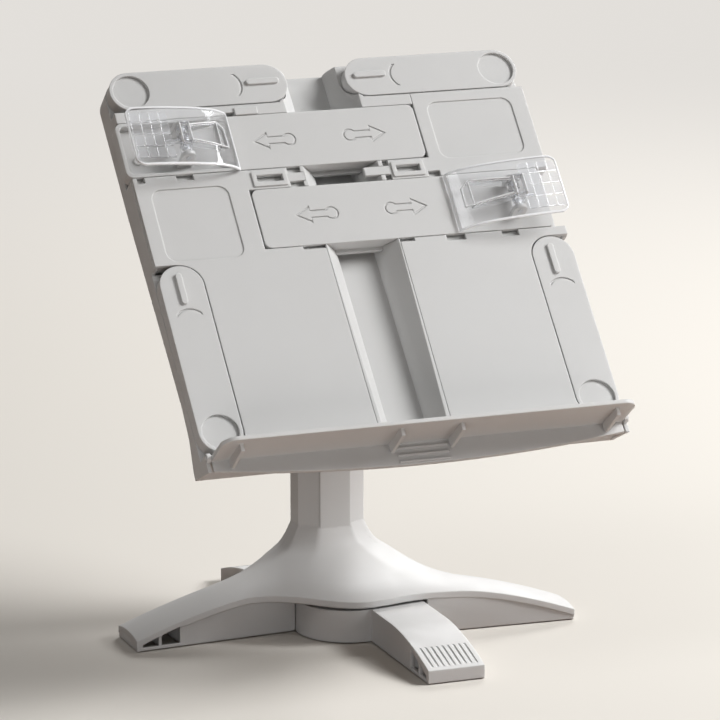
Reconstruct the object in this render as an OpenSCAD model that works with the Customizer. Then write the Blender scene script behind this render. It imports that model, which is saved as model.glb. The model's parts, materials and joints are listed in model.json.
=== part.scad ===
// Folding bookstand: a tilted reading board with sliding clips and swing-out arms,
// on a telescoping column that rises from a cross base whose cross bar folds away.
// Origin: the cross bar's pivot on the table. X is across the board, -Y is the reader's side.

/* [Board] */
// Width of the board
board_w = 239; // [220:1:280]
// Height of the board above its ledge
board_h = 241; // [225:1:262]
// Thickness of the board at its top edge
board_t = 22; // [20:0.5:26]
// Lean of the board back from upright, in degrees
lean = 42.6; // [30:0.1:55]
// Depth of the ledge in front of the board
ledge_depth = 27; // [20:0.5:34]
// Width of the central trough at the front face
trough_w = 45; // [38:0.5:50]
// Depth of the central trough at the top edge
trough_depth = 17.4; // [14:0.2:18]
// Wall thickness of the moulded shells
wall = 2.2; // [1.8:0.1:2.6]

/* [Sliding bars] */
// Height of the upper sliding bar
upper_bar_h = 34.4; // [32:0.1:35]
// Height of the lower sliding bar
lower_bar_h = 36.8; // [34:0.1:37.4]
// Thickness of a sliding bar
bar_t = 8; // [7:0.1:8.4]

/* [Swing arms] */
// Width of a swing arm
arm_w = 24.4; // [22:0.1:25]
// Thickness of a swing arm
arm_t = 7.4; // [6:0.1:7.6]
// Length of an upper arm over its round ends
upper_arm_len = 102; // [90:0.5:103]
// Length of a lower arm over its round ends
lower_arm_len = 113; // [100:0.5:114]

/* [Clips] */
// Length of a clip
clip_len = 62; // [56:0.5:66]
// Height of a clip
clip_h = 37; // [32:0.5:38]
// Thickness of the clip's plate
clip_t = 1.8; // [1.4:0.1:2.2]

/* [Column] */
// Width of the fluted column
col_w = 39.2; // [37:0.2:42]
// Depth of the column, front to back
col_d = 25; // [24:0.2:28]
// Height of the column's top above the table
col_top = 150; // [120:1:155]
// Height of the tilt hinge above the table
hinge_z = 219; // [212:1:235]

/* [Base] */
// Half of the span across the two fixed wings
wing_reach = 124; // [112:1:136]
// Reach of each folding leg from the pivot
leg_reach = 113; // [100:1:120]
// Width of a folding leg
leg_w = 32.4; // [30:0.2:33]
// Radius of the cross bar's hub
hub_r = 29.5; // [28:0.1:29.5]
// Distance of the column behind the pivot
col_y = 32.5; // [31:0.5:34]

/* [Hidden] */
abs_grey = [0.80, 0.80, 0.79];
abs_inner = [0.72, 0.72, 0.71];
clear_pc = [0.86, 0.90, 0.93, 0.45];
steel = [0.70, 0.71, 0.72];
rubber = [0.16, 0.16, 0.17];
fit = 0.3;
fn_round = 72;

// ---- base ----
lip_h = 3.7;
leg_x = 2.6;
leg_top = 18.8;
base_lift = 0.6;
strip_w = 18;
strip_up = 0.6;
boss_r = 8;
root_x = 64;
pad_x = wing_reach - 36.5;
pad_y = leg_reach - 38;

// ---- board, in its own frame: X across, Y back from the front face, Z up from the ledge ----
hinge_out = 44;
hinge_v = 157.5;
half_w = board_w / 2;
trough_half = trough_w / 2;
trough_floor = 11;
trough_tilt = 1.35;
plate_t = 2.4;
arm_r = arm_w / 2;
arm_row_z = board_h - arm_r - 0.3;
side_arm_x = half_w - arm_r - 0.1;
side_arm_z = 17;
side_arm_foot = side_arm_z - arm_w / 2 - 0.8;
side_arm_top = side_arm_foot + lower_arm_len + 1.6;
top_arm_x = half_w - arm_r - 0.3;
arm_seat = 7.8;
upper_bar_z = 191.4;
lower_bar_z = 142.7;
bar_left = -121.5;
bar_right = 51;
low_left = -55;
low_right = 113.4;
bar_flange = 2;
slide_travel = 60;
upper_flange = [bar_left + 66.5, bar_right - 6];
lower_flange = [low_left + 6, low_right - 66];
rail_y = bar_t;
rail_back = 12.6 + wall;
skirt_end = 5.9;
skirt_mid = 13;
corner_r = 12.5;
board_foot = 0.8;
cover_foot = 2.8;
flap_y = -1;
flap_z = 1.6;
flap_droop = 6;
flap_half = half_w - 2.9;
left_pivot_x = -87;
right_pivot_x = 93;
clip_pivot_y = -5.2;
clip_pin_r = 1.5;
step_depth = 4.2;
step_screw = [-112, 186.5];

function smooth(t) = let (s = max(0, min(1, t))) s * s * (3 - 2 * s);
function mix(a, b, t) = a + (b - a) * t;
function hyp(x, y) = sqrt(x * x + y * y);

// Plan outline of the shell: its front edge and its back edge over X.
function front_edge(x) =
    x < 0 ? mix(-2, -30.2, smooth((x + root_x) / root_x))
    : x < 37 ? mix(-30.2, -26, smooth(x / 37))
    : mix(-26, -30.6, smooth((x - 37) / (wing_reach - 37)));
function back_edge(x) =
    x < 0 ? mix(30.4, 52, smooth((x + root_x + 2) / (root_x + 2)))
    : x < root_x ? mix(52, 2 + (root_x - x) * 0.52, smooth(x / (root_x - 4)))
    : 2;

// Distance from the column's axis to its eight-sided face in the direction (ux, uy).
oct_x = col_w / 2;
oct_y = col_d / 2;
oct_fx = strip_w / 2;
oct_fy = 6;
oct_nx = oct_y - oct_fy;
oct_ny = oct_x - oct_fx;
oct_c = oct_nx * oct_x + oct_ny * oct_fy;
function oct_dist(ux, uy) = let (a = abs(ux), b = abs(uy)) min(
    a > 0.001 ? oct_x / a : 1000,
    b > 0.001 ? oct_y / b : 1000,
    oct_c / (oct_nx * a + oct_ny * b)
);

// Height of the shell's skin: wings that fall to their tips, a concave flare up to the column.
function wing_height(a) = 23 - 15 * pow(max(0, a - 58) / (wing_reach - 58), 1.65);
function flare(d) = 24 * exp(-pow(max(0, d) / 30, 1.15)) + 8 * pow(max(0, 1 - d / 9), 2.2);
function edge_gap(x, y) = max(0, min(y - front_edge(x), back_edge(x) - y));
function edge_drop(x, y) = (2 + 1.4 * exp(-pow(x / 40, 2))) * pow(1 - min(1, edge_gap(x, y) / 13), 2);
function skin_z(x, y) =
    let (dy = y - col_y, r = max(0.01, hyp(x, dy)), d = r - oct_dist(x / r, dy / r))
    wing_height(abs(x)) + flare(d) - edge_drop(x, y);
function under_z(x, y) = skin_z(x, y) - mix(lip_h, 2.6, min(1, edge_gap(x, y) / 3));

// Across a wing the stations crowd toward both edges.
across = [0, 0.035, 0.09, 0.17, 0.29, 0.43, 0.57, 0.71, 0.83, 0.91, 0.965, 1];
across_n = len(across) - 1;
function wing_y(x, k) = mix(front_edge(x), back_edge(x), across[k]);

// Stations round the middle of the shell, each matched to a point on the column by the ray to its axis.
front_n = 26;
back_n = 24;
rim = concat(
    [for (i = [0:front_n - 1]) let (x = mix(-root_x, root_x, i / front_n)) [x, front_edge(x)]],
    [for (k = [0:across_n - 1]) [root_x, wing_y(root_x, k)]],
    [for (i = [0:back_n - 1]) let (x = mix(root_x, -root_x, i / back_n)) [x, back_edge(x)]],
    [for (k = [across_n:-1:1]) [-root_x, wing_y(-root_x, k)]]
);
rim_n = len(rim);
ring_t = [0, 0.02, 0.045, 0.08, 0.125, 0.18, 0.25, 0.34, 0.45, 0.58, 0.72, 0.84, 0.93, 1];
under_t = [1, 0.95, 0.8, 0.6, 0.4, 0.22, 0.08, 0];
function skin_xy(j, t) =
    let (v = rim[j] - [0, col_y], r = norm(v), u = v / r, a = oct_dist(u[0], u[1]) - 1.2)
    [0, col_y] + u * mix(a, r, t);

// The skin is one closed grid: rings round the column over and under, then rows out along each wing
// that start on the outermost ring. Top ring and lower ring are those that the wings join.
wing_rows = 12;
loop_n = 2 * (across_n + 1);
top_ring = (len(ring_t) - 1) * rim_n;
low_ring = top_ring + rim_n;
ring_count = len(ring_t) + len(under_t);
function halves(quads) = [for (q = quads) for (f = [[q[0], q[1], q[2]], [q[0], q[2], q[3]]]) f];
function joins_wing(j) = (j >= front_n && j < front_n + across_n) || j >= rim_n - across_n;
function root_station(side, k) = side < 0 ? (rim_n - k) % rim_n : front_n + k;
function wing_index(side, i, k) =
    let (n = k % loop_n, over = n <= across_n, a = over ? n : loop_n - 1 - n)
    i == 0 ? (over ? top_ring : low_ring) + root_station(side, a)
    : ring_count * rim_n + (side < 0 ? 0 : wing_rows * loop_n) + (i - 1) * loop_n + n;
function turned(side, faces) = side < 0 ? [for (f = faces) [f[2], f[1], f[0]]] : faces;

module skin() {
    top = [for (t = ring_t) for (j = [0:rim_n - 1]) let (p = skin_xy(j, t)) [p[0], p[1], skin_z(p[0], p[1])]];
    under = [for (t = under_t) for (j = [0:rim_n - 1]) let (p = skin_xy(j, t))
        [p[0], p[1], under_z(p[0], p[1])]];
    wings = [for (s = [-1, 1]) for (i = [1:wing_rows]) let (x = s * mix(root_x, wing_reach, i / wing_rows))
        for (n = [0:loop_n - 1]) let (over = n <= across_n, y = wing_y(x, over ? n : loop_n - 1 - n))
            [x, y, over ? skin_z(x, y) : under_z(x, y)]];
    middle_quads = [for (k = [0:ring_count - 1]) for (j = [0:rim_n - 1])
        if (k != len(ring_t) - 1 || !joins_wing(j))
        let (n = (j + 1) % rim_n, m = (k + 1) % ring_count)
        [k * rim_n + j, k * rim_n + n, m * rim_n + n, m * rim_n + j]];
    wing_faces = [for (s = [-1, 1]) for (f = turned(s, halves(concat(
        [for (i = [0:wing_rows - 1]) for (k = [0:loop_n - 1])
            [wing_index(s, i, k), wing_index(s, i, k + 1), wing_index(s, i + 1, k + 1),
                wing_index(s, i + 1, k)]],
        [for (k = [0:across_n - 1])
            [for (n = [k + 1, loop_n - 2 - k, loop_n - 1 - k, k]) wing_index(s, wing_rows, n)]]
    )))) f];
    polyhedron(points = concat(top, under, wings), faces = concat(halves(middle_quads), wing_faces));
}

// Eight-sided section of the column, grown by g.
module octagon(g = 0) {
    x = oct_x + g;
    y = oct_y + g;
    fx = oct_fx + g * 0.4;
    fy = oct_fy + g * 0.4;
    polygon([[-fx, -y], [fx, -y], [x, -fy], [x, fy], [fx, y], [-fx, y], [-x, fy], [-x, -fy]]);
}

// A thin upright sheet from one plan point to another, from height z0 up into the skin over it.
// $turn is -1 in the wing that is turned half round, where the skin over a point has another height.
$turn = 1;
module sheet(x0, y0, x1, y1, thick, z0) {
    n = 16;
    a = atan2(y1 - y0, x1 - x0);
    run = hyp(x1 - x0, y1 - y0);
    function skin_over(x, y) = skin_z($turn * x, $turn * y);
    top = [for (i = [n:-1:0])
        let (
            t = i / n,
            x = mix(x0, x1, t),
            y = mix(y0, y1, t),
            far_x = x - thick * sin(a),
            far_y = y + thick * cos(a)
        )
        [run * t, min(skin_over(x, y), skin_over(far_x, far_y)) - 1.5]];
    translate([x0, y0, 0])
        rotate([0, 0, a])
            translate([0, thick, 0])
                rotate([90, 0, 0])
                    linear_extrude(thick) polygon(concat([[0, z0], [run, z0]], top));
}

module end_wall(x, y0, y1, h) {
    translate([x, y0, base_lift]) cube([wall, y1 - y0, h]);
}

// The windows that lighten a wall near a tip: two openings under a sloping top.
module tip_windows() {
    rotate([90, 0, 0]) linear_extrude(12, center = true) {
        polygon([[3.7, 2.4], [13, 2.4], [13, 8], [3.7, 4.2]]);
        polygon([[14.6, 2.4], [25.6, 2.4], [25.6, 12.6], [14.6, 8.6]]);
    }
}

// Walls of the left wing, two dividers by its windows, and a boss that carries its foot pad.
module wing_box() {
    tip = wing_reach - 0.4;
    front_lean = 6.6 / 94;
    back_lean = 4.8 / 86;
    hub_gap = sqrt(pow(hub_r + 0.5, 2) - pow(4.9, 2));
    sheet(-tip, -1.7, -hub_gap, -1.7 + (tip - hub_gap) * front_lean, 2, base_lift);
    sheet(-tip, 28.2, -37.5, 28.2 - (tip - 37.5) * back_lean, 2, base_lift);
    end_wall(-tip - 0.2, -1.75, 30.15, 6);
    for (d = [13.7, 26.2])
        translate([-tip + d, -1.2 + d * front_lean, base_lift])
            cube([1.4, 30.4 - d * (front_lean + back_lean), d * 0.35 + 2]);
    sheet(-pad_x - 8, 13, -pad_x + 8, 13, 2, base_lift + 1);
    sheet(-pad_x + 1, 1, -pad_x + 1, 27, 2, base_lift + 1);
    translate([-pad_x, 14, 1.4]) cylinder(r = 8.2, h = 5, $fn = fn_round);
}

// One wing, then the same wing turned half round the pivot.
module both_wings() {
    for ($turn = [1, -1])
        rotate([0, 0, 90 - 90 * $turn]) children();
}

module base_shell() {
    color(abs_grey)
        difference() {
            union() {
                skin();
                both_wings() wing_box();
                translate([0, col_y, 22]) linear_extrude(col_top - 22) octagon();
                translate([-strip_w / 2, col_y - oct_y - strip_up, 46])
                    cube([strip_w, strip_up + 1, col_top - 46]);
                translate([0, 0, 5.6]) cylinder(r = boss_r, h = 25, $fn = fn_round);
                sheet(-40, -1, 40, -1, 2, 19.6);
                for (x = [-14, 0, 14]) sheet(x + 1, -24, x + 1, 22, 2, 19.6);
            }
            both_wings() translate([-wing_reach, -1, 0]) tip_windows();
            both_wings() pad_bore(-pad_x, 14);
            translate([0, col_y, 0]) linear_extrude(col_top + 1) octagon(-wall);
            translate([0, 0, 0]) cylinder(r = 1.9, h = 17, $fn = 48);
            translate([0, col_y - oct_y, col_top - 9]) cube([7, 12, 7], center = true);
        }
}

// Soft foot with a neck that is pushed up into its boss.
module foot_pad(x, y) {
    translate([x, y, 0]) {
        cylinder(r = 7, h = 1.4, $fn = fn_round);
        translate([0, 0, 1.3]) cylinder(r = 2.9, h = 4, $fn = 48);
    }
}

module pad_bore(x, y) {
    translate([x, y, 0]) cylinder(r = 3, h = 5.3, $fn = 48);
}

module wing_pads() {
    color(rubber) both_wings() foot_pad(-pad_x, 14);
}

module pivot_screw() {
    color(steel)
        difference() {
            union() {
                translate([0, 0, 2.2]) cylinder(r = 3.6, h = 1.8, $fn = fn_round);
                translate([0, 0, 3.9]) cylinder(r = 1.85, h = 12, $fn = 48);
            }
            translate([0, 0, 2]) cube([5, 0.9, 1.8], center = true);
            translate([0, 0, 2]) cube([0.9, 5, 1.8], center = true);
        }
}

module pivot_washer() {
    color(steel)
        difference() {
            translate([0, 0, 4]) cylinder(r = 12, h = 1.5, $fn = fn_round);
            translate([0, 0, 3]) cylinder(r = 1.9, h = 4, $fn = 48);
        }
}

module pivot_cap() {
    color(abs_inner)
        difference() {
            cylinder(r = 13.4, h = 5, $fn = fn_round);
            translate([0, 0, 1.4]) cylinder(r = 12.02, h = 5, $fn = fn_round);
        }
}

// Guide collar let into the top of the column.
module column_collar() {
    color(abs_inner)
        translate([0, col_y, col_top])
            linear_extrude(4) difference() {
                octagon();
                octagon(-wall - 0.55);
            }
}

// ---- folding cross bar ----
function leg_height(d) = leg_top - 11 * pow(max(0, d - 58) / (leg_reach - 58), 1.8);

module leg_profile(drop) {
    n = 18;
    polygon(concat(
        [[16, base_lift + (drop > 0 ? 1 : 0)], [leg_reach - drop, base_lift + (drop > 0 ? 1 : 0)]],
        [for (i = [n:-1:0]) let (d = mix(16, leg_reach - drop, i / n)) [d, leg_height(d) - drop]]
    ));
}

// The leg's side profile, drawn outward from the pivot and given its width along X.
module leg_solid(x0, w, drop = 0) {
    translate([x0, 0, 0])
        rotate([90, 0, 0])
            rotate([0, 90, 0])
                linear_extrude(w) leg_profile(drop);
}

module both_legs() {
    for (a = [0, 180]) rotate([0, 0, a]) children();
}

module leg_shell() {
    mirror([0, 1, 0])
        difference() {
            leg_solid(leg_x, leg_w);
            translate([0, 0, -2]) leg_solid(leg_x + 2, leg_w - 4, 2);
        }
    for (y = [13.6, 26.2])
        translate([leg_x + 1, -leg_reach + y, base_lift + 0.4])
            cube([leg_w - 2, 1.4, leg_height(leg_reach - y) - 3]);
    translate([leg_x + 1, -pad_y - 1, 1.6]) cube([leg_w - 2, 2, leg_height(pad_y) - 3]);
    translate([leg_x + leg_w / 2, -pad_y, 1.4]) cylinder(r = 8.2, h = 5, $fn = fn_round);
}

module leg_grooves() {
    slope = atan2(leg_height(92) - leg_height(110), 18);
    for (i = [0:8])
        translate([leg_x + 3.4 + i * (leg_w - 6.8) / 8, -110, leg_height(110) - 0.35])
            rotate([slope, 0, 0]) translate([-0.6, 0, 0]) cube([1.2, 19, 3]);
}

module cross_bar() {
    color(abs_grey)
        difference() {
            union() {
                difference() {
                    translate([0, 0, base_lift]) cylinder(r = hub_r, h = leg_top - base_lift, $fn = 96);
                    translate([0, 0, -1]) cylinder(r = hub_r - wall, h = leg_top - 1.6, $fn = 96);
                }
                both_legs() leg_shell();
                translate([0, 0, 6.2]) cylinder(r = 11.5, h = leg_top - 6.2, $fn = fn_round);
            }
            translate([0, 0, -1]) cylinder(r = boss_r + 0.06, h = 30, $fn = fn_round);
            translate([0, 0, -1]) cylinder(r = 15, h = 6.9, $fn = fn_round);
            both_legs() {
                leg_grooves();
                translate([leg_x, -leg_reach, 0]) rotate([0, 0, 90]) tip_windows();
                pad_bore(leg_x + leg_w / 2, -pad_y);
            }
        }
}

module cross_bar_pads() {
    color(rubber) both_legs() foot_pad(leg_x + leg_w / 2, -pad_y);
}

// ---- telescoping post and tilt hinge ----
post_in = -wall - 0.9;

module inner_post() {
    color(abs_grey)
        difference() {
            union() {
                translate([0, col_y, 36]) linear_extrude(hinge_z - 14 - 36) octagon(post_in);
                translate([-9, col_y - 8, hinge_z - 22]) cube([18, 16, 22]);
                translate([-9, col_y, hinge_z]) rotate([0, 90, 0]) cylinder(r = 10, h = 18, $fn = fn_round);
            }
            translate([0, col_y, 35]) linear_extrude(hinge_z - 20 - 35) octagon(post_in - wall);
            translate([-20, col_y, hinge_z]) rotate([0, 90, 0]) cylinder(r = 3.05, h = 40, $fn = fn_round);
        }
}

// Nylon glides on the post's foot that rub on the column's wall.
module post_glides() {
    color([0.92, 0.92, 0.90])
        translate([0, col_y, 38]) {
            for (s = [-1, 1]) {
                translate([s * (oct_x + post_in + 0.42) - 0.4, -4, 0]) cube([0.8, 8, 30]);
                translate([-6, s * (oct_y + post_in + 0.42) - 0.4, 0]) cube([12, 0.8, 30]);
            }
        }
}

module tilt_bolt() {
    color(steel)
        translate([0, col_y, hinge_z]) rotate([0, 90, 0]) {
            translate([0, 0, -18.5]) cylinder(r = 3, h = 38, $fn = fn_round);
            translate([0, 0, -21.6]) cylinder(r = 6.5, h = 3.2, $fn = fn_round);
        }
}

module tilt_nut() {
    color(steel)
        translate([0, col_y, hinge_z]) rotate([0, 90, 0])
            difference() {
                translate([0, 0, 16.3]) cylinder(r = 6.4, h = 4.6, $fn = 6);
                translate([0, 0, 14]) cylinder(r = 3.02, h = 10, $fn = fn_round);
            }
}

module tilt_washers() {
    color(rubber)
        translate([0, col_y, hinge_z]) rotate([0, 90, 0])
            for (z = [-10.2, 9.1])
                difference() {
                    translate([0, 0, z]) cylinder(r = 8.5, h = 1.1, $fn = fn_round);
                    translate([0, 0, z - 1]) cylinder(r = 3.1, h = 4, $fn = fn_round);
                }
}

// Puts children drawn in the board's own frame onto the tilt hinge.
module on_board() {
    translate([0, col_y, hinge_z]) rotate([-lean, 0, 0]) translate([0, -hinge_out, -hinge_v]) children();
}

// ---- board ----
// Side outline: depth behind the front face over height above the ledge, less an inset.
module board_profile(g = 0) {
    polygon([
        [g > 0 ? -1 : 0, board_foot + g], [g > 0 ? -1 : 0, board_h - g], [board_t - g, board_h - g],
        [board_t - 1.2 - g, 165], [board_t - 4 - g, 110], [board_t - 6.5 - g, 66], [board_t - 7.6 - g, 40],
        [board_t - 6 - g, 22], [board_t - g, 5], [board_t - g, board_foot + g]
    ]);
}

// The board's solid outside, or with g the hollow inside its walls.
module board_block(g = 0) {
    intersection() {
        translate([-half_w + g, 0, 0]) rotate([90, 0, 90]) linear_extrude(board_w - 2 * g) board_profile(g);
        face_plate(-2, 40) round_rect(-half_w + g, -60, half_w - g, board_h - g, corner_r - g);
    }
}

// Lobe at each lower corner that carries the ledge's hinge pin.
module ledge_lobe() {
    rotate([90, 0, 90]) linear_extrude(2.2) polygon([[board_t, 1], [board_t, 4], [0.3, 4], [0.3, -6.2]]);
    translate([0, flap_y, flap_z]) rotate([0, 90, 0]) cylinder(r = 2.5, h = 2.2, $fn = 48);
}

// Trough section: a flat floor with S-shaped walls, grown by g.
module trough_section(g = 0) {
    n = 10;
    w = trough_half + g;
    d = trough_depth + g;
    side = [for (i = [0:n]) let (t = i / n)
        [mix(w, trough_floor + g, 0.5 - 0.5 * cos(180 * pow(t, 0.8))), mix(-0.4, d, t)]];
    polygon(concat(
        [[w, -14]], side, [for (i = [n:-1:0]) [-side[i][0], side[i][1]]], [[-w, -14]]
    ));
}

module trough(g = 0) {
    translate([0, 0, board_h / 2])
        rotate([-trough_tilt, 0, 0])
            translate([0, -board_h / 2 * sin(trough_tilt), 0])
                linear_extrude(board_h + 40, center = true) trough_section(g);
}

// Flat outline of an arm lying in its recess, grown by g.
module arm_shape(len, g = 0) {
    circle(r = arm_r + g, $fn = 96);
    translate([0, -arm_r - g]) square([len - 2 * arm_r, 2 * (arm_r + g)]);
    translate([len - 2 * arm_r, 0]) circle(r = arm_r + g, $fn = 96);
}

// Stands a flat shape up in the board's plane: drawn in X-Z, thickened back from depth y0.
module face_plate(y0, thick) {
    translate([0, y0 + thick, 0]) rotate([90, 0, 0]) linear_extrude(thick) children();
}

module round_rect(x0, z0, x1, z1, r) {
    for (x = [x0 + r, x1 - r]) for (z = [z0 + r, z1 - r]) translate([x, z]) circle(r = r, $fn = 48);
    translate([x0 + r, z0]) square([x1 - x0 - 2 * r, z1 - z0]);
    translate([x0, z0 + r]) square([x1 - x0, z1 - z0 - 2 * r]);
}

// The four arm places: pivot X, pivot Z, turn of the arm and its length.
function arm_place(i) = [
    [-top_arm_x, arm_row_z, 0, upper_arm_len], [top_arm_x, arm_row_z, 180, upper_arm_len],
    [-side_arm_x, side_arm_z, 90, lower_arm_len], [side_arm_x, side_arm_z, 90, lower_arm_len]
][i];

module at_arm(i) {
    translate([arm_place(i)[0], 0, arm_place(i)[1]]) rotate([0, -arm_place(i)[2], 0]) children();
}

// A rail across the board, from depth y0 back to the plate behind the sliding bars.
module rail(y0, z0, z1) {
    translate([-half_w, y0, z0]) cube([board_w, rail_back - y0, z1 - z0]);
}

// Slot for one sliding bar, with the wider groove from g0 to g1 that holds its flanges and stops them.
module bar_slot(x0, x1, z, h, g0, g1) {
    translate([x0, -1, z - h / 2 - fit]) cube([x1 - x0, rail_back - wall + 1, h + 2 * fit]);
    translate([g0 - fit, rail_y - fit, z - h / 2 - bar_flange - fit])
        cube([g1 - g0 + 2 * fit, 2 + 2 * fit, h + 2 * bar_flange + 2 * fit]);
}

module board_tray() {
    x_bar = bar_right + 0.6;
    color(abs_grey)
        on_board() difference() {
            union() {
                difference() {
                    board_block();
                    board_block(wall);
                }
                for (s = [0, 1]) mirror([s, 0, 0]) translate([half_w - 2.2, 0, 0]) ledge_lobe();
                translate([-52, -0.9, upper_bar_z + upper_bar_h / 2 + fit]) cube([13, 3, 4.6]);
                intersection() {
                    board_block();
                    union() {
                        trough(wall);
                        // rails above, between and below the sliding bars
                        rail(0, upper_bar_z + upper_bar_h / 2, upper_bar_z + upper_bar_h / 2 + 7.2);
                        rail(plate_t + 0.2, lower_bar_z + lower_bar_h / 2, upper_bar_z - upper_bar_h / 2);
                        rail(plate_t + 0.2, lower_bar_z - lower_bar_h / 2 - 4.6,
                            lower_bar_z - lower_bar_h / 2);
                        rail(rail_back - wall, lower_bar_z - lower_bar_h / 2 - 4,
                            upper_bar_z + upper_bar_h / 2 + 3.7);
                        // seats under the arms, and posts that carry the covers
                        for (i = [0:3]) at_arm(i) translate([-arm_r, arm_seat, -arm_r - 1.8])
                            cube([arm_place(i)[3], wall, arm_w + 3.6]);
                        for (x = [-92, 92]) translate([x - 1, plate_t + 0.2, 4]) cube([2, 30, 114]);
                        for (p = [[-34, 14], [-82, 60], [-34, 110], [34, 14], [82, 60], [34, 110], [80, 168]])
                            translate([p[0], plate_t, p[1]]) rotate([-90, 0, 0])
                                cylinder(r = 3.6, h = 30, $fn = 48);
                    }
                }
            }
            trough();
            bar_slot(-130, x_bar, upper_bar_z, upper_bar_h, upper_flange[0] - slide_travel, upper_flange[1]);
            bar_slot(low_left - 0.6, 130, lower_bar_z, lower_bar_h, lower_flange[0],
                lower_flange[1] + slide_travel);
            // recesses that the arms fold into, open at the board's edges
            for (i = [0:3]) at_arm(i) {
                face_plate(-1, arm_seat + 1) arm_shape(arm_place(i)[3], 0.8);
            }
            arm_clearance();
            cover_seats();
            for (i = [0:3]) translate([arm_place(i)[0], 0, arm_place(i)[1]]) rotate([-90, 0, 0])
                cylinder(r = 4.05, h = 12, $fn = fn_round);
            notch(-58, -52, upper_bar_z + upper_bar_h / 2 - 1, upper_bar_z + upper_bar_h / 2 + 2.6);
            for (p = screw_spots) translate([p[0], 0, p[1]]) rotate([-90, 0, 0])
                cylinder(r = 1.25, h = 40, $fn = 32);
            translate([-flap_half - 0.5, -9, -20]) cube([2 * flap_half + 1, 11.4, 22.7]);
            translate([-half_w - 1, flap_y, flap_z]) rotate([0, 90, 0])
                cylinder(r = 1.28, h = board_w + 2, $fn = 48);
            for (x = [-22, 22]) for (z = [hinge_v - 14, hinge_v + 14])
                translate([x, 10, z]) rotate([-90, 0, 0]) cylinder(r = 1.25, h = 30, $fn = 32);
        }
}

screw_spots = [[-34, 14], [-82, 60], [-34, 110], [34, 14], [82, 60], [34, 110], [80, 168]];

// The rim is cut away beside each arm, so that the arm can swing out over the edge.
module arm_clearance() {
    translate([-half_w - 1, -1, arm_row_z - arm_r - 0.8]) cube([arm_r + 1, arm_seat + 1, 40]);
    translate([half_w - arm_r, -1, arm_row_z - arm_r - 0.8]) cube([arm_r + 1, arm_seat + 1, 40]);
    for (x = [-half_w - 1, side_arm_x]) translate([x, -1, side_arm_foot])
        cube([arm_r + 1.1, arm_seat + 1, side_arm_top - side_arm_foot]);
    translate([-half_w - 1, -1, arm_row_z]) cube([board_w + 2, arm_seat + 1, 40]);
}

module cover_seats() {
    face_plate(-1, plate_t + 1.2) left_outline(fit);
    face_plate(-1, plate_t + 1.2) right_lower_outline(fit);
    face_plate(-1, plate_t + 1.2) right_upper_outline(fit);
}

cover_top = upper_bar_z - upper_bar_h / 2 - fit - 0.2;
low_top = lower_bar_z + lower_bar_h / 2 + fit;
low_bot = lower_bar_z - lower_bar_h / 2 - fit - 0.2;
tongue_z = (low_top + cover_top) / 2;
function trough_edge(z) = trough_half - 0.2 - (1 - z / board_h) * 1.5;

module left_outline(g = 0) {
    difference() {
        union() {
            polygon([
                [-half_w + 0.3 - g, cover_foot - g], [-trough_edge(0) + g, cover_foot - g],
                    [-trough_edge(low_bot) + g, low_bot + g],
                [low_left - 1, low_bot + g], [low_left - 1, cover_top + g], [-half_w + 0.3 - g, cover_top + g]
            ]);
            tongue(low_left - 2, -31.5, g);
            nub(-32.5, -22.5, g);
        }
        translate([-side_arm_x, side_arm_z]) rotate(90) arm_shape(lower_arm_len, 0.7 - g);
        translate([-half_w - 20, -20]) square([20 + half_w - side_arm_x - g, side_arm_top + 20 - g]);
    }
}

module right_lower_outline(g = 0) {
    difference() {
        polygon([
            [half_w - 0.3 + g, cover_foot - g], [half_w - 0.3 + g, low_bot + g],
                [trough_edge(low_bot) - g, low_bot + g],
            [trough_edge(0) - g, cover_foot - g]
        ]);
        translate([side_arm_x, side_arm_z]) rotate(90) arm_shape(lower_arm_len, 0.7 - g);
        translate([side_arm_x + g, -20]) square([40, side_arm_top + 20 - g]);
    }
}

module right_upper_outline(g = 0) {
    polygon([
        [bar_right + 1 - g, low_top - g], [half_w - 0.3 + g, low_top - g],
        [half_w - 0.3 + g, arm_row_z - arm_r - 0.8 + g], [bar_right + 1 - g, arm_row_z - arm_r - 0.8 + g]
    ]);
    tongue(27.5, bar_right + 2, g);
    nub(12.5, 28.5, g);
}

// Tongue that reaches into the gap between the two bars, and the narrow nub that carries on from it.
module tongue(x0, x1, g = 0) {
    translate([x0, low_top - g]) square([x1 - x0, cover_top - low_top + 2 * g]);
}

module nub(x0, x1, g = 0) {
    translate([x0, tongue_z - 2.6 - g]) square([x1 - x0, 5.2 + 2 * g]);
}

module tongue_window(x0, x1) {
    face_plate(-1.5, 6) translate([x0, tongue_z - 2.2]) square([x1 - x0, 4.4]);
}

// Raised rim round a tongue's window.
module tongue_frame(x0, x1) {
    face_plate(-0.8, 1.2) round_rect(x0 - 2.4, tongue_z - 4.8, x1 + 2.4, tongue_z + 4.8, 1);
}

// Small catch notches along a cover's edge.
module notch(x0, x1, z0, z1) {
    translate([x0, -1, z0]) cube([x1 - x0, 6, z1 - z0]);
}

module cover_holes(spots) {
    for (p = spots) translate([p[0], 0.9, p[1]]) rotate([-90, 0, 0]) cylinder(r = 1.05, h = 6, $fn = 32);
}

module left_cover() {
    color(abs_grey)
        on_board() difference() {
            union() {
                face_plate(0, plate_t) left_outline();
                tongue_frame(-50, -35);
            }
            face_plate(-1, 1.5) round_rect(-111.2, 120.6, -67.5, 165.4, 6);
            tongue_window(-50, -35);
            notch(-94.7, -84.9, cover_top - 3.4, cover_top + 1);
            notch(-117, -112.5, cover_top - 3.4, cover_top + 1);
            notch(-34.5, -20, low_bot - 2, low_bot + 1);
            cover_holes([[-34, 14], [-82, 60], [-34, 110]]);
        }
}

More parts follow.
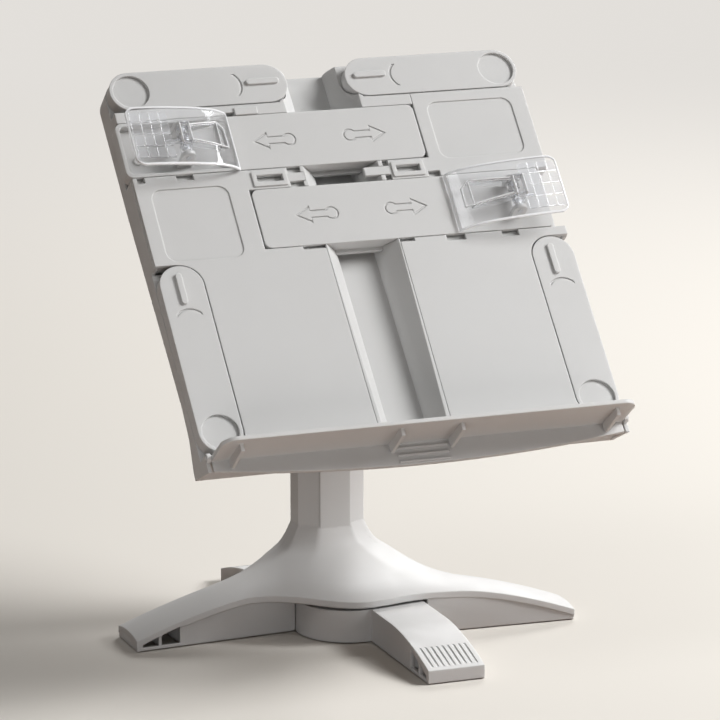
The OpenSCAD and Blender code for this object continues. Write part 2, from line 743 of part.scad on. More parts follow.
module right_lower_cover() {
    color(abs_grey)
        on_board() difference() {
            face_plate(0, plate_t) right_lower_outline();
            notch(48.4, 59.6, low_bot - 3.6, low_bot + 1);
            notch(81.1, 91, low_bot - 3.6, low_bot + 1);
            notch(20, 30, low_bot - 2, low_bot + 1);
            cover_holes([[34, 14], [82, 60], [34, 110]]);
        }
}

module right_upper_cover() {
    color(abs_grey)
        on_board() difference() {
            union() {
                face_plate(0, plate_t) right_upper_outline();
                tongue_frame(31, 45);
            }
            face_plate(-1, 1.5) round_rect(59.4, 172.4, 109.8, 209, 6);
            tongue_window(31, 45);
            notch(bar_right - 2, 56, low_top - 1, low_top + 3.6);
            cover_holes([[80, 168]]);
        }
}

// Screws driven from the back into the covers.
module cover_screws() {
    color(steel)
        on_board() for (p = screw_spots) translate([p[0], 1.2, p[1]]) rotate([-90, 0, 0])
            cylinder(r = 1, h = 12, $fn = 32);
}

// Folding ledge, one moulding: a plate with round corners, a bowed skirt below it, ribs in the corner
// between them, finger grips on the skirt and a hinge pin at each end.
module ledge_flap() {
    e = flap_half;
    b = e - 0.4;
    n = 24;
    color(abs_grey)
        on_board() {
            rotate([flap_droop, 0, 0]) {
                linear_extrude(2.2) intersection() {
                    round_rect(-e, -ledge_depth, e, ledge_depth, 8);
                    translate([-e, -ledge_depth]) square([2 * e, ledge_depth + 1]);
                }
                for (x = [-106, -17, 17, 106]) translate([x - 1, 0, 0]) rotate([90, 0, 90]) linear_extrude(2)
                    polygon([[0.4, 0.4], [0.4, -5.2], [-1.6, -5.2], [6 - ledge_depth, -4],
                        [5.4 - ledge_depth, 0.4]]);
            }
            face_plate(0, 2.1) polygon(concat(
                [for (i = [0:n]) let (u = mix(-b, b, i / n))
                    [u, -skirt_mid + (skirt_mid - skirt_end) * pow(u / b, 2)]],
                [[b, 2.1], [-b, 2.1]]
            ));
            for (z = [-3.1, -7.2, -11.2]) translate([-14.4, -0.7, z - 0.6]) cube([28.8, 1.4, 1.2]);
            for (s = [-1, 1]) translate([s * (e + 1.2) - 2.2, flap_y, flap_z]) rotate([0, 90, 0]) {
                cylinder(r = 1.2, h = 4.4, $fn = 48);
                translate([0, 0, s > 0 ? 0 : 3]) cylinder(r = 1.45, h = 1.4, $fn = 48);
            }
        }
}

// Bracket on the board's back: a plate with two ears that hold the tilt bolt.
module hinge_bracket() {
    back = board_t - 1.6;
    color(abs_inner)
        on_board() difference() {
            union() {
                translate([-30, back, hinge_v - 24]) cube([60, 4, 48]);
                for (s = [-1, 1]) translate([s * 13.3 - 3, 0, 0]) {
                    translate([0, back, hinge_v - 14]) cube([6, hinge_out - back, 28]);
                    translate([0, hinge_out, hinge_v]) rotate([0, 90, 0])
                        cylinder(r = 14, h = 6, $fn = fn_round);
                }
            }
            translate([-30, hinge_out, hinge_v]) rotate([0, 90, 0])
                cylinder(r = 3.05, h = 60, $fn = fn_round);
            board_block();
            for (x = [-22, 22]) for (z = [hinge_v - 14, hinge_v + 14])
                translate([x, 10, z]) rotate([-90, 0, 0]) cylinder(r = 1.6, h = 30, $fn = 32);
        }
}

module bracket_screws() {
    color(steel)
        on_board() for (x = [-22, 22]) for (z = [hinge_v - 14, hinge_v + 14])
            translate([x, board_t + 2.4, z]) rotate([-90, 0, 0]) {
                cylinder(r = 3, h = 1.8, $fn = 48);
                translate([0, 0, -8]) cylinder(r = 1.2, h = 8.1, $fn = 32);
            }
}

// ---- swing arms ----
// The pivot stub passes through the tray's wall, and its lip snaps in behind the wall.
module arm_body(len, flip) {
    lip_y = arm_seat + wall + 0.1;
    difference() {
        union() {
            face_plate(0, arm_t) arm_shape(len);
            rotate([-90, 0, 0])
                translate([0, 0, arm_t - 0.1]) cylinder(r = 4, h = lip_y + 0.7 - arm_t, $fn = fn_round);
            rotate([-90, 0, 0])
                translate([0, 0, lip_y]) cylinder(r = 4.6, h = 1.2, $fn = fn_round);
            face_plate(-1.3, 2.4) round_rect(len - 2 * arm_r - 11.5, flip - 1.7, len - 2 * arm_r + 7.3,
                flip + 1.7, 1.65);
        }
        rotate([-90, 0, 0]) translate([0, 0, -1]) cylinder(r = 10.2, h = 2.4, $fn = 96);
        rotate([-90, 0, 0]) translate([0, 0, arm_t - 1]) cylinder(r = 1.8, h = 8, $fn = 48);
        translate([len - 2 * arm_r - 23.5, 0, 0]) rotate([-90, 0, 0]) translate([0, 0, -0.5])
            intersection() {
                difference() {
                    cylinder(r = 9.6, h = 1.1, $fn = 96);
                    cylinder(r = 8.5, h = 3, center = true, $fn = 96);
                }
                translate([4, -7, 0]) cube([10, 14, 2]);
            }
    }
}

module arm(i, flip) {
    color(abs_grey) on_board() at_arm(i) arm_body(arm_place(i)[3], flip);
}

module upper_left_arm() arm(0, 1);
module upper_right_arm() arm(1, -1);
module lower_left_arm() arm(2, 1);
module lower_right_arm() arm(3, 1);

// ---- sliding bars ----
// An engraved arrow with a round tail, drawn as a groove along its outline.
module arrow(x, z, dir) {
    translate([x, 0, z]) scale([dir, 1, 1]) {
        face_plate(-1, 1.45) difference() {
            arrow_shape(0);
            arrow_shape(-0.9);
        }
    }
}

module arrow_shape(g) {
    polygon([
        [-8, -2.6 - g], [3.4 - g * 0.2, -2.6 - g], [3.4 - g * 0.2, -5.6 - g * 1.7], [12.4 + g * 2, 0],
        [3.4 - g * 0.2, 5.6 + g * 1.7], [3.4 - g * 0.2, 2.6 + g], [-8, 2.6 + g]
    ]);
    translate([-8.6, 0]) circle(r = 4 + g, $fn = 48);
}

module bar_body(x0, x1, z, h, flange) {
    difference() {
        union() {
            face_plate(0, bar_t) round_rect(x0, z - h / 2, x1, z + h / 2, 4);
            translate([flange[0], rail_y - 0.01, z - h / 2 - bar_flange])
                cube([flange[1] - flange[0], 2, h + 2 * bar_flange]);
        }
        translate([x0 + 3, wall, z - h / 2 + 3]) cube([x1 - x0 - 6, 20, h - 6]);
    }
    for (x = [flange[0] + 4 : 23 : flange[1]]) translate([x - 0.8, 1, z - h / 2 + 2]) cube([1.6, 8.6, h - 4]);
}

// Ears on a bar that carry a clip's pin, from their root at depth foot.
module clip_ears(px, z, foot = 1.8) {
    for (s = [-1, 1]) translate([px - 4, 0, z + s * 9.4 - 1.2]) difference() {
        union() {
            translate([0, clip_pivot_y, 0]) cube([8, foot - clip_pivot_y, 2.4]);
            translate([4, clip_pivot_y, 0]) cylinder(r = 4, h = 2.4, $fn = 48);
        }
        translate([4, clip_pivot_y, -1]) cylinder(r = clip_pin_r + 0.02, h = 5, $fn = 48);
    }
}

module upper_slide() {
    color(abs_grey)
        on_board() {
            difference() {
                bar_body(bar_left, bar_right, upper_bar_z, upper_bar_h, upper_flange);
                face_plate(-1, step_depth + 1)
                    round_rect(bar_left + 2, upper_bar_z - upper_bar_h / 2 + 2, -59,
                    upper_bar_z + upper_bar_h / 2 - 2, 3.4);
                arrow(-33.9, upper_bar_z + 0.2, -1);
                arrow(18.8, upper_bar_z + 0.2, 1);
            }
            translate([bar_left + 1.2, step_depth, upper_bar_z - upper_bar_h / 2 + 1.2])
                cube([-59.4 - bar_left, 2, upper_bar_h - 2.4]);
            translate([step_screw[0], step_depth - 1, step_screw[1]]) rotate([-90, 0, 0]) difference() {
                cylinder(r = 2.3, h = 2, $fn = 48);
                translate([0, 0, -1]) cylinder(r = 1.2, h = 2.4, $fn = 48);
            }
            clip_ears(left_pivot_x, upper_bar_z, step_depth + 0.8);
        }
}

module lower_slide() {
    color(abs_grey)
        on_board() {
            difference() {
                bar_body(low_left, low_right, lower_bar_z, lower_bar_h, lower_flange);
                arrow(-21.5, lower_bar_z + 0.6, -1);
                arrow(30.4, lower_bar_z + 0.6, 1);
            }
            clip_ears(right_pivot_x, lower_bar_z);
        }
}

// ---- clips ----
// Height of a clip's plate in front of the board, s millimetres out from its jaw.
function clip_rise(s) = clip_t + 0.1 + 8.6 * (1 - exp(-s / 9)) + 4.4 * smooth(s / 60);

module clip_plate(grow) {
    n = 26;
    up = [for (i = [0:n]) let (s = clip_len * i / n) [s, -clip_rise(s)]];
    down = [for (i = [n:-1:0]) let (s = clip_len * i / n) [s, -clip_rise(s) + grow]];
    translate([0, 0, -clip_h / 2]) linear_extrude(clip_h) polygon(concat(up, down));
}

// A clip drawn from its jaw at X = 0 out to its grip, with its pin at X = px.
module clip_body(px) {
    jaw_r = 3;
    difference() {
        union() {
            intersection() {
                clip_plate(clip_t);
                rotate([90, 0, 0]) translate([0, 0, -10]) linear_extrude(40)
                    round_rect(-0.1, -clip_h / 2, clip_len, clip_h / 2, jaw_r);
            }
            difference() {
                translate([px, clip_pivot_y, 0]) rotate([0, 0, 0])
                    cylinder(r = 3.4, h = 15.4, center = true, $fn = 48);
                translate([px - 6, -40, -3.2]) cube([12, 80, 6.4]);
            }
            for (z = [-6.2, 4.8]) intersection() {
                translate([3, 0, z]) linear_extrude(1.4) polygon(concat(
                    [for (i = [0:20]) let (s = mix(3, px + 6, i / 20)) [s - 3, -clip_rise(s) + 0.8]],
                    [for (i = [10:-1:0]) let (s = mix(6, px + 4, i / 10))
                        [s - 3, mix(-3.4, clip_pivot_y + 2.4, i / 10) - 0.6]]
                ));
                translate([0, -30, -20]) cube([100, 60, 40]);
            }
            for (r = [0:4]) for (c = [0:3])
                translate([clip_len - 5 - r * 5, -clip_rise(clip_len - 5 - r * 5) - 0.5, -12.6 + c * 8.4])
                    cube([3.4, 1.4, 6.4], center = true);
            translate([9, -clip_rise(9) - 0.3, 0]) cube([1.2, 1.2, 16], center = true);
            translate([14, -clip_rise(14) - 0.3, 0]) cube([1.2, 1.2, 16], center = true);
        }
        translate([px, clip_pivot_y, 0]) cylinder(r = clip_pin_r + 0.06, h = 60, center = true, $fn = 48);
        translate([px - 4.6, clip_pivot_y - 30, -3.2]) cube([3.4, 24, 6.4]);
    }
}

module at_left_clip() {
    on_board() translate([-57.6, 0, upper_bar_z]) mirror([1, 0, 0]) children();
}

module at_right_clip() {
    on_board() translate([56.4, 0, lower_bar_z]) children();
}

module left_clip() {
    color(clear_pc) at_left_clip() clip_body(-57.6 - left_pivot_x);
}

module right_clip() {
    color(clear_pc) at_right_clip() clip_body(right_pivot_x - 56.4);
}

module clip_pin(px) {
    translate([px, clip_pivot_y, 0]) cylinder(r = clip_pin_r, h = 22, center = true, $fn = 48);
}

module left_clip_pin() {
    color(steel) at_left_clip() clip_pin(-57.6 - left_pivot_x);
}

module right_clip_pin() {
    color(steel) at_right_clip() clip_pin(right_pivot_x - 56.4);
}

// Torsion spring: a wire that runs in along one leg, winds round the pin and runs out along the other.
spring_r = 2.4;
wire_r = 0.42;
turn_steps = 20;
coils = 3.5;
function coil_path() = let (n = round(coils * turn_steps)) concat(
    [[9, -spring_r, -2.4, 0]],
    [for (i = [0:n]) let (a = -90 - 360 * i / turn_steps)
        [spring_r * cos(a), spring_r * sin(a), -2.4 + 4.8 * i / n, a + 90]],
    [[9, spring_r, 2.4, 360 * -coils]]
);

module clip_spring(px) {
    path = coil_path();
    sides = 8;
    n = len(path);
    points = [for (p = path) for (k = [0:sides - 1]) let (a = 360 * k / sides)
        [p[0] + wire_r * cos(a) * sin(p[3]), p[1] - wire_r * cos(a) * cos(p[3]), p[2] + wire_r * sin(a)]];
    skin = [for (i = [0:n - 2]) for (k = [0:sides - 1])
        let (m = (k + 1) % sides, a = i * sides, b = a + sides)
        for (f = [[a + k, b + k, b + m], [a + k, b + m, a + m]]) f];
    caps = [[for (k = [0:sides - 1]) k], [for (k = [sides - 1:-1:0]) (n - 1) * sides + k]];
    translate([px, clip_pivot_y, 0]) polyhedron(points = points, faces = concat(skin, caps));
}

module left_clip_spring() {
    color(steel) at_left_clip() clip_spring(-57.6 - left_pivot_x);
}

module right_clip_spring() {
    color(steel) at_right_clip() clip_spring(right_pivot_x - 56.4);
}

base_shell();
pivot_screw();
pivot_washer();
pivot_cap();
wing_pads();
column_collar();
cross_bar();
cross_bar_pads();
inner_post();
post_glides();
tilt_bolt();
tilt_nut();
tilt_washers();
board_tray();
left_cover();
right_lower_cover();
right_upper_cover();
ledge_flap();
cover_screws();
hinge_bracket();
bracket_screws();
upper_left_arm();
upper_right_arm();
lower_left_arm();
lower_right_arm();
upper_slide();
lower_slide();
left_clip();
right_clip();
left_clip_pin();
right_clip_pin();
left_clip_spring();
right_clip_spring();
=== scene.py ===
# %% [markdown]
# # A folding bookstand rack
#
# This lesson dresses a bookstand: a tilted reading board with clear spring clips, sliding bars,
# swing-out arms and a ledge, standing on a fluted column and a folding cross base. The working
# parts arrive as an exact frame, already in place and in metres. They could be modelled again in
# Blender, but they already fit one another closely, so the lesson loads them and leaves their
# sizes alone. Here each one gets the finish of the real thing: softened edges, moulded plastic,
# clear plastic, rubber and steel.

# %% Load the frame
import json
import math
import bmesh
import bpy
import numpy as np
from mathutils import Matrix, Vector


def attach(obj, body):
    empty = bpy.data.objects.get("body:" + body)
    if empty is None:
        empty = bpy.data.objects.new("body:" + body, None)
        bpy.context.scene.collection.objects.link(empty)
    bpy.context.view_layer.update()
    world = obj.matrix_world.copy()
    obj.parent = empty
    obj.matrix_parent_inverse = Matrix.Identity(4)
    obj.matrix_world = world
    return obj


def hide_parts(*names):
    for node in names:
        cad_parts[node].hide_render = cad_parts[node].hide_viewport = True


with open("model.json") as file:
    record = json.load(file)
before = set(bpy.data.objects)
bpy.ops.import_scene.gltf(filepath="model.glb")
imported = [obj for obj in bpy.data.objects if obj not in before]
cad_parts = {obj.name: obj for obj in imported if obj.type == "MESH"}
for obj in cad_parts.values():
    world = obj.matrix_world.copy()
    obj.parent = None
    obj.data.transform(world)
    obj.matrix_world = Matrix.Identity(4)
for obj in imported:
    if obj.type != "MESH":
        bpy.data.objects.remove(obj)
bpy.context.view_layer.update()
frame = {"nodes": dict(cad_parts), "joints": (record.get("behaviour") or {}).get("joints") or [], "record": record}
MM = 0.001

# %% [markdown]
# ## Directions on the tilted board
#
# Most of the details lie on the board, which leans back. They could be made flat and then turned,
# but a finished piece keeps its place in its mesh, so its points are worked out in the board's own
# directions and set in the world at once. The directions are read from the joints: the clips'
# hinge axis runs straight up the board, and the tilt hinge gives a fixed point, which lies so far
# behind the board's front face and so far up it.

# %% The board's own frame
joints = {joint["name"]: joint for joint in frame["joints"]}
ACROSS = np.array([1.0, 0.0, 0.0])
UP_BOARD = np.array(joints["right_clip_open"]["axis"], float)
INTO_BOARD = np.cross(UP_BOARD, ACROSS)
TILT_HINGE = np.array(joints["board_tilt"]["pos_m"], float)
HINGE_DEPTH = 44 * MM
HINGE_HEIGHT = 157.5 * MM
BOARD_ORIGIN = TILT_HINGE - HINGE_DEPTH * INTO_BOARD - HINGE_HEIGHT * UP_BOARD


def on_board(points):
    """World place of board points: origin + across * X + into the board * Y + up the board * Z."""
    return BOARD_ORIGIN + np.asarray(points, float) @ np.array([ACROSS, INTO_BOARD, UP_BOARD])


print("board origin", BOARD_ORIGIN.round(4), "up", UP_BOARD.round(3))

# %% [markdown]
# ## The camera
#
# The photograph looks at the stand from the reader's left and a little above, through a long lens,
# so the lines hardly converge. A camera can be set by eye, but then no edge falls quite where the
# photograph has it. This one circles a point in the middle of the stand at the photograph's angle,
# and its distance and lens are those that bring the board's and the base's corners into place.

# %% Place the camera
AZIMUTH = math.radians(-21.18)
ELEVATION = math.radians(13.38)
DISTANCE = 2.3904
FOCAL_PIXELS = 4363.3
IMAGE_PIXELS = 720
SENSOR = 36.0
FARTHEST_SEEN = 50
TARGET = Vector((0.00625, -0.00242, 0.15329))

level = math.cos(ELEVATION)
right = Vector((math.cos(AZIMUTH), math.sin(AZIMUTH), 0))
toward_eye = Vector((math.sin(AZIMUTH) * level, -math.cos(AZIMUTH) * level, math.sin(ELEVATION)))
turned = Matrix((right, toward_eye.cross(right), toward_eye)).transposed().to_4x4()
camera_data = bpy.data.cameras.new("camera")
camera_data.sensor_width = SENSOR
camera_data.lens = FOCAL_PIXELS * SENSOR / IMAGE_PIXELS
camera_data.clip_end = FARTHEST_SEEN
camera = bpy.data.objects.new("camera", camera_data)
camera.matrix_world = Matrix.Translation(TARGET + toward_eye * DISTANCE) @ turned
scene = bpy.context.scene
scene.collection.objects.link(camera)
scene.camera = camera
print("camera at", [round(v, 3) for v in camera.matrix_world.translation])

# %% [markdown]
# ## The lamps
#
# The photograph is lit by a window on the right: the tops of the feet are the brightest, the
# board's face comes next, and whatever turns left or down is in soft shadow. A picture of a sky
# could light the stand as well, but square lamps can be aimed and dimmed one by one. A strong one
# far round to the right is the window, a weak one at the left fills the shadows, and one behind
# draws the back edges.

# %% Three large lamps
scene.view_settings.view_transform = "Standard"
LAMP_SIZE = 0.9
STAND_MIDDLE = (0, 0, 0.16)
# Each lamp's place and its watts.
LAMPS = {
    "window": ((1.70, -0.62, 1.58), 60),
    "left_fill": ((-1.3, -0.5, 2.0), 6),
    "back_rim": ((1.2, 1.6, 1.4), 27),
}


def area_lamp(name, place, size, watts, aim):
    """A square lamp at a place, turned to face the aim."""
    data = bpy.data.lights.new(name, "AREA")
    data.energy = watts
    data.size = size
    lamp = bpy.data.objects.new(name, data)
    lamp.location = place
    lamp.rotation_euler = (Vector(aim) - Vector(place)).to_track_quat("-Z", "Y").to_euler()
    scene.collection.objects.link(lamp)
    return lamp


for name, (place, watts) in LAMPS.items():
    lamp = area_lamp(name, place, LAMP_SIZE, watts, STAND_MIDDLE)
    print(lamp.name, lamp.data.energy, "W")

# %% [markdown]
# The window doesn't reach up under the ledge. A stronger fill would lift every shadow at once, so
# two small cards of light lie in front of the stand instead, as a photographer would lay white
# cards on the table, and look up at the ledge. The camera doesn't see them.

# %% Two cards of light
CARD_SIZE = 0.25
CARD_Y = -0.40
CARD_Z = 0.01
LEDGE_Y = -0.09
LEDGE_Z = 0.14
# Each card's place across and its watts.
CARDS = ((-0.25, 0.70), (0.25, 0.62))
cards = []
for card_x, watts in CARDS:
    aim = (card_x / 2, LEDGE_Y, LEDGE_Z)
    card = area_lamp("table_card", (card_x, CARD_Y, CARD_Z), CARD_SIZE, watts, aim)
    card.visible_camera = False
    cards.append(card)
print(len(cards), "cards")

# %% [markdown]
# ## Nodes
#
# The room and the finishes are trees of nodes. Set up one by one, each would take a page, so a few
# helpers add a node, link it, and work out a number. One of them tells the rays apart: a ray that
# shows something to the eye, straight, mirrored or through clear plastic, and a ray that only
# carries light from one surface to another.

# %% Node helpers
def add(owner, kind, **settings):
    """A node of a kind in a material or a world, with its named inputs or properties set."""
    node = owner.node_tree.nodes.new(kind)
    for key, value in settings.items():
        if key in node.inputs:
            node.inputs[key].default_value = value
        else:
            setattr(node, key, value)
    return node


def join(owner, output, socket):
    """A link from an output to an input."""
    owner.node_tree.links.new(output, socket)


def combine(owner, operation, first, second):
    """A number worked out from two others, such as the greater one or their product."""
    made = add(owner, "ShaderNodeMath", operation=operation)
    join(owner, first, made.inputs[0])
    join(owner, second, made.inputs[1])
    return made.outputs[0]


def remap(owner, source, start, end, low, high, curve="LINEAR"):
    """A number stretched from start..end to low..high, and held there beyond its ends."""
    made = add(owner, "ShaderNodeMapRange", interpolation_type=curve)
    for socket, value in (("From Min", start), ("From Max", end), ("To Min", low), ("To Max", high)):
        made.inputs[socket].default_value = value
    join(owner, source, made.inputs["Value"])
    return made.outputs["Result"]


def seen_ray(owner):
    """1 for a ray that shows something to the eye: straight, mirrored or through clear plastic."""
    ray = add(owner, "ShaderNodeLightPath")
    not_clear = combine(owner, "MAXIMUM", ray.outputs["Is Camera Ray"], ray.outputs["Is Glossy Ray"])
    return combine(owner, "MAXIMUM", not_clear, ray.outputs["Is Transmission Ray"])


print("helpers:", [helper.__name__ for helper in (add, join, combine, remap, seen_ray)])

# %% [markdown]
# ## The room
#
# An even light from all round keeps the deepest shadows from going black. It has to stay faint, or
# the shadows would be gone. But gloss and clear plastic mirror the room, and a low camera looks
# past the floor into it, and there it should be pale. Light Path gives both: rays that show
# something meet a pale room, and the others a faint one.

# %% A faint room that looks pale
FAINT_FILL = 0.10
PALE_ROOM = 0.85
ROOM_COLOR = (0.90, 0.87, 0.83, 1)
world = bpy.data.worlds.new("studio")
scene.world = world
world.use_nodes = True
background = world.node_tree.nodes["Background"]
background.inputs["Color"].default_value = ROOM_COLOR
room_strength = remap(world, seen_ray(world), 0, 1, FAINT_FILL, PALE_ROOM)
join(world, room_strength, background.inputs["Strength"])
print("room", FAINT_FILL, "for light,", PALE_ROOM, "where it is seen")

# %% [markdown]
# ## The floor
#
# The floor is one wide pale sheet that curves up behind the stand, as a photographer's paper roll
# does. A plane with a bent edge would do, but a profile of flat, bend and upright swept along X
# needs no more than its radius. The sweep runs from right to left, which turns the faces up and
# toward the stand.

# %% Grids and the swept paper
FLOOR_FRONT = -3.0
FLOOR_BACK = 2.2
FLOOR_HALF_WIDTH = 4.0
BEND_RADIUS = 1.2
BEND_POINTS = 25
PAPER_TOP = 4.0


def grid_faces(rows, columns, closed=False):
    """Four-sided faces of a grid of points, with the last column joined to the first if closed."""
    wide = columns if closed else columns - 1
    row, column = np.meshgrid(np.arange(rows - 1), np.arange(wide), indexing="ij")
    following = (column + 1) % columns
    this_row = row * columns
    next_row = (row + 1) * columns
    corners = [this_row + column, this_row + following, next_row + following, next_row + column]
    return np.stack(corners, axis=-1).reshape(-1, 4)


def mesh_object(name, points, faces):
    """A new object at the origin with its place in its mesh."""
    mesh = bpy.data.meshes.new(name)
    mesh.from_pydata(np.asarray(points).reshape(-1, 3).tolist(), [], [list(face) for face in faces])
    mesh.shade_smooth()
    made = bpy.data.objects.new(name, mesh)
    scene.collection.objects.link(made)
    return made


def across_floor(x):
    """The profile at one x: flat from the front, round the bend of a quarter circle, then upright."""
    bend = np.linspace(0, math.pi / 2, BEND_POINTS)
    bend_y = FLOOR_BACK + BEND_RADIUS * np.sin(bend)
    bend_z = BEND_RADIUS * (1 - np.cos(bend))
    profile_y = np.concatenate([[FLOOR_FRONT], bend_y, [FLOOR_BACK + BEND_RADIUS]])
    profile_z = np.concatenate([[0], bend_z, [PAPER_TOP]])
    return np.stack([np.full_like(profile_y, x), profile_y, profile_z], axis=-1)


floor_points = np.stack([across_floor(x) for x in (FLOOR_HALF_WIDTH, -FLOOR_HALF_WIDTH)])
floor = mesh_object("floor", floor_points, grid_faces(*floor_points.shape[:2]))
print("floor of", len(floor.data.polygons), "faces")

# %% [markdown]
# The cards of light lie so low that they would burn two bright wedges into the paper. Moving them
# up would take the light off the ledge. Light linking solves it: the paper goes into a collection
# as an exception, and each card lights everything but that.

# %% Keep the cards' light off the paper
card_light = bpy.data.collections.new("not_lit_by_cards")
card_light.objects.link(floor)
card_light.collection_objects[0].light_linking.link_state = "EXCLUDE"
for card in cards:
    card.light_linking.receiver_collection = card_light

# %% [markdown]
# ## The floor's paper
#
# The real stand is on a dark wooden table, which throws little light back up, so the underside of
# the ledge and the foot of the base are dark and warm. A pale floor would fill them with light. It
# could be painted brown, but the picture wants a pale one, so the paper has two colours, told
# apart by the rays: what is seen is pale, and the light that bounces off is tinted as brown wood
# tints it.

# %% Pale to the eye, brown to the bounce
PALE_PAPER = (0.74, 0.71, 0.66, 1)
WOOD_BOUNCE = (0.20, 0.11, 0.06, 1)
PAPER_ROUGHNESS = 0.8
# A Mix node keeps the sockets of its colours at these places.
MIX_AMOUNT = 0
MIX_FIRST = 6
MIX_SECOND = 7
MIX_COLOR = 2


def new_material(name):
    """An empty material and its shader, which are linked already."""
    material = bpy.data.materials.new(name)
    material.use_nodes = True
    return material, material.node_tree.nodes["Principled BSDF"]


def mix_colors(material, amount, first, second):
    """The first colour where the amount is 0, the second where it is 1."""
    mix = add(material, "ShaderNodeMix", data_type="RGBA")
    mix.inputs[MIX_FIRST].default_value = first
    mix.inputs[MIX_SECOND].default_value = second
    join(material, amount, mix.inputs[MIX_AMOUNT])
    return mix.outputs[MIX_COLOR]


floor_paper, paper_shader = new_material("floor_paper")
paper_seen = seen_ray(floor_paper)
paper_color = mix_colors(floor_paper, paper_seen, WOOD_BOUNCE, PALE_PAPER)
join(floor_paper, paper_color, paper_shader.inputs["Base Color"])
paper_shader.inputs["Roughness"].default_value = PAPER_ROUGHNESS
paper_shader.inputs["Specular IOR Level"].default_value = 0.0
floor.data.materials.append(floor_paper)
print("paper", PALE_PAPER[:3], "bounce", WOOD_BOUNCE[:3])

# %% [markdown]
# Two more things keep the paper out of the way when the camera circles the stand. Seen from low
# down, the paper's far end would draw a hard line across the picture, so away from the stand it
# fades into the colour of the room. And from behind, its upright part would hide the stand, so its
# back is clear.

# %% Fade the far paper and clear its back
FADE_FROM = 0.5
FADE_TO = 2.0


def crossfade(material, amount, first, second):
    """The first shader where the amount is 0, the second where it is 1."""
    mixed = add(material, "ShaderNodeMixShader")
    for source, socket in zip((amount, first, second), mixed.inputs):
        join(material, source, socket)
    return mixed.outputs[0]


def show(material, shader):
    """Makes a shader the one that the material shows."""
    join(material, shader, material.node_tree.nodes["Material Output"].inputs["Surface"])


place = add(floor_paper, "ShaderNodeTexCoord")
distance = add(floor_paper, "ShaderNodeVectorMath", operation="LENGTH")
join(floor_paper, place.outputs["Object"], distance.inputs[0])
far = remap(floor_paper, distance.outputs["Value"], FADE_FROM, FADE_TO, 0, 1, "SMOOTHSTEP")
far_and_seen = combine(floor_paper, "MULTIPLY", far, paper_seen)
haze = add(floor_paper, "ShaderNodeEmission", Color=ROOM_COLOR, Strength=PALE_ROOM)
hazy = crossfade(floor_paper, far_and_seen, paper_shader.outputs["BSDF"], haze.outputs["Emission"])
side = add(floor_paper, "ShaderNodeNewGeometry")
nothing = add(floor_paper, "ShaderNodeBsdfTransparent")
show(floor_paper, crossfade(floor_paper, side.outputs["Backfacing"], hazy, nothing.outputs["BSDF"]))
print("paper fades from", FADE_FROM, "to", FADE_TO, "m")

# %% [markdown]
# ## Uneven plastic
#
# The body of the stand is pale grey ABS with a fine spark-eroded texture: matte, with a soft wide
# highlight. One flat colour would look painted. Real mouldings vary a little in shade and gloss
# where the plastic flowed, so the colour and the roughness each follow a slow noise. The noise
# reads Object coordinates, which stay with the piece when it moves.

# %% Noise that drives a number
NOISE_LOW = 0.3
NOISE_HIGH = 0.7


def noise(material, scale, detail, roughness=0.5):
    """Noise on Object coordinates, with so many cells in a metre."""
    place = add(material, "ShaderNodeTexCoord")
    made = add(material, "ShaderNodeTexNoise", Scale=scale, Detail=detail, Roughness=roughness)
    join(material, place.outputs["Object"], made.inputs["Vector"])
    return made.outputs["Fac"]


def drifting(material, source, low, high):
    """A noise stretched so that its usual lows and highs give the two values."""
    return remap(material, source, NOISE_LOW, NOISE_HIGH, low, high)


print("noise from", NOISE_LOW, "to", NOISE_HIGH, "is stretched over the wanted range")

# %% [markdown]
# ## Moulded plastics
#
# A moulded plastic has three scales of detail: a slow drift of shade, a patchy gloss, and a fine
# grain that only breaks up the highlight. The grain could be real bumps in the mesh, but at half a
# millimetre each they would take millions of faces, so it goes into the shader's normal. So does
# the round of each edge, which the Bevel node finds by itself. A little light also sinks in and
# comes out again close by.

# %% The recipe for plastic
SHADE_CELLS = 14
GLOSS_CELLS = 60
GLOSS_DRIFT = 0.05
GRAIN_DEPTH = 0.2 * MM
BEVEL_RAYS = 6
GLOW_REACH = (1.0, 1.0, 1.0)
GLOW_DEPTH = 3 * MM


def moulded(name, color, rough, grain, grain_cells=1500, shade_drift=0.03,
            specular=0.5, edge_round=0.0, glow=0.0):
    """Plastic whose shade and roughness drift, with a fine grain and, if wanted, rounded edges."""
    material, shader = new_material(name)
    shade = drifting(material, noise(material, SHADE_CELLS, detail=3), 0, 1)
    dark = tuple(channel * (1 - shade_drift) for channel in color)
    shaded = mix_colors(material, shade, (*dark, 1), (*color, 1))
    join(material, shaded, shader.inputs["Base Color"])
    patchy = noise(material, GLOSS_CELLS, detail=2)
    roughness = drifting(material, patchy, rough - GLOSS_DRIFT, rough + GLOSS_DRIFT)
    join(material, roughness, shader.inputs["Roughness"])
    bump = add(material, "ShaderNodeBump", Strength=grain, Distance=GRAIN_DEPTH)
    join(material, noise(material, grain_cells, detail=3, roughness=0.6), bump.inputs["Height"])
    if edge_round:
        rounded = add(material, "ShaderNodeBevel", samples=BEVEL_RAYS, Radius=edge_round)
        join(material, rounded.outputs["Normal"], bump.inputs["Normal"])
    join(material, bump.outputs["Normal"], shader.inputs["Normal"])
    shader.inputs["Specular IOR Level"].default_value = specular
    shader.inputs["Subsurface Weight"].default_value = glow
    shader.inputs["Subsurface Radius"].default_value = GLOW_REACH
    shader.inputs["Subsurface Scale"].default_value = GLOW_DEPTH
    return material


print("plastic drifts in shade over", round(1 / SHADE_CELLS, 2), "m")

# %% [markdown]
# The same recipe with other numbers makes the pale shell, the satin inner parts, the waxy glides
# and the black rubber. Four separate trees could be tuned further, but the finishes would drift
# apart in kind. Only the first two need rounded edges, because the others hardly show.

